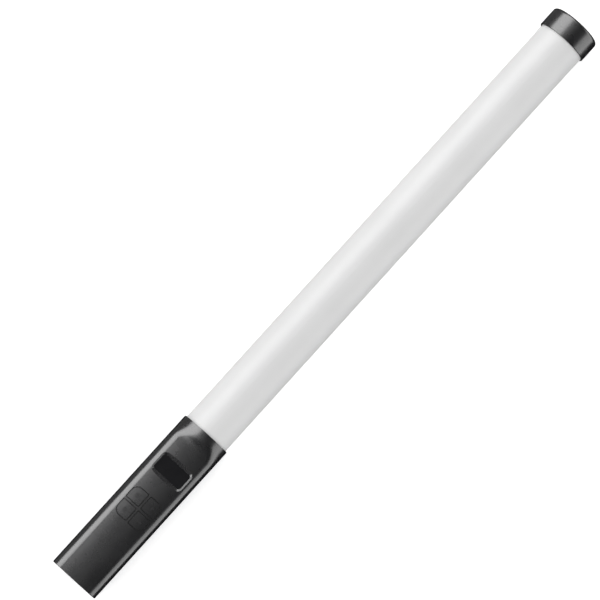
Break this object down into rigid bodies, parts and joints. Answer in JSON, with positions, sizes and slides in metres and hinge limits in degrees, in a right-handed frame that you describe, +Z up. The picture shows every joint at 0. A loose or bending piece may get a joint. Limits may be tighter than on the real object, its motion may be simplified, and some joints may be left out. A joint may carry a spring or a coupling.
{
  "type": "led light tube",
  "caption": "Hand-held LED light wand: opal tube with a round end cap, on a dark grip with a flattened face, a screen, a block of keys and a tripod thread.",
  "frame": {"origin": "on the surface that the wand lies on, under the middle of its length, the centre of the bottom of its box", "axes": "+X along the tube from the grip's end to the cap, +Z up out of the key face, Y across the wand; the tube's axis is 18.75 mm above the origin"},
  "size_m": [0.506, 0.0376, 0.0375],
  "materials": {
    "grip_plastic": "dark moulded plastic, satin",
    "key_plastic": "dark moulded plastic, satin",
    "lens_glass": "smoked acrylic, polished",
    "opal_plastic": "opal diffusing plastic, satin",
    "brass": "machined",
    "screw_steel": "black zinc",
    "plated_steel": "nickel plated",
    "white_plastic": "natural",
    "circuit_board": "solder mask",
    "chip_plastic": "moulded epoxy",
    "switch_plastic": "moulded",
    "display_panel": "polished",
    "frame_plastic": "moulded",
    "cell_sleeve": "shrink sleeve",
    "foam": "closed-cell foam",
    "wire_sleeve": "extruded",
    "seal_rubber": "moulded",
    "spine_aluminium": "extruded",
    "led_board": "white solder mask",
    "led_packages": "phosphor"
  },
  "bodies": {
    "body": {"front_shell": "grip_plastic", "rear_shell": "grip_plastic", "shell_screws": "screw_steel", "end_plate": "grip_plastic", "tripod_insert": "brass", "screen_lens": "lens_glass", "display_module": "display_panel", "display_bracket": "frame_plastic", "switch_bodies": "switch_plastic", "main_board": "circuit_board", "board_screws": "screw_steel", "usb_shell": "plated_steel", "usb_tongue": "white_plastic", "controller_chip": "chip_plastic", "power_inductor": "chip_plastic", "driver_chips": "chip_plastic", "small_parts": "chip_plastic", "battery_connector": "white_plastic", "led_connector": "white_plastic", "battery_cell": "cell_sleeve", "battery_tabs": "plated_steel", "battery_cradle": "frame_plastic", "battery_pad": "foam", "battery_leads": "wire_sleeve", "tube_collar": "frame_plastic", "collar_ring": "seal_rubber", "collar_screws": "screw_steel", "led_spine": "spine_aluminium", "led_board_front": "led_board", "led_board_rear": "led_board", "led_chips_front": "led_packages", "led_chips_rear": "led_packages", "led_leads": "wire_sleeve", "board_links": "wire_sleeve", "diffuser_tube": "opal_plastic", "end_plug": "frame_plastic", "plug_ring": "seal_rubber", "plug_screws": "screw_steel", "top_cap": "grip_plastic"},
    "power_key": {"key_power": "key_plastic", "plunger_power": "switch_plastic"},
    "plus_key": {"key_plus": "key_plastic", "plunger_plus": "switch_plastic"},
    "mode_key": {"key_mode": "key_plastic", "plunger_mode": "switch_plastic"},
    "minus_key": {"key_minus": "key_plastic", "plunger_minus": "switch_plastic"}
  },
  "joints": [
    {"name": "power_press", "type": "slide", "parent": "body", "child": "power_key", "axis": [0, 0, -1], "range_m": [0, 0.0004], "stiffness_N_per_m": 600, "springref_m": -0.0005},
    {"name": "plus_press", "type": "slide", "parent": "body", "child": "plus_key", "axis": [0, 0, -1], "range_m": [0, 0.0004], "stiffness_N_per_m": 600, "springref_m": -0.0005},
    {"name": "mode_press", "type": "slide", "parent": "body", "child": "mode_key", "axis": [0, 0, -1], "range_m": [0, 0.0004], "stiffness_N_per_m": 600, "springref_m": -0.0005},
    {"name": "minus_press", "type": "slide", "parent": "body", "child": "minus_key", "axis": [0, 0, -1], "range_m": [0, 0.0004], "stiffness_N_per_m": 600, "springref_m": -0.0005}
  ]
}
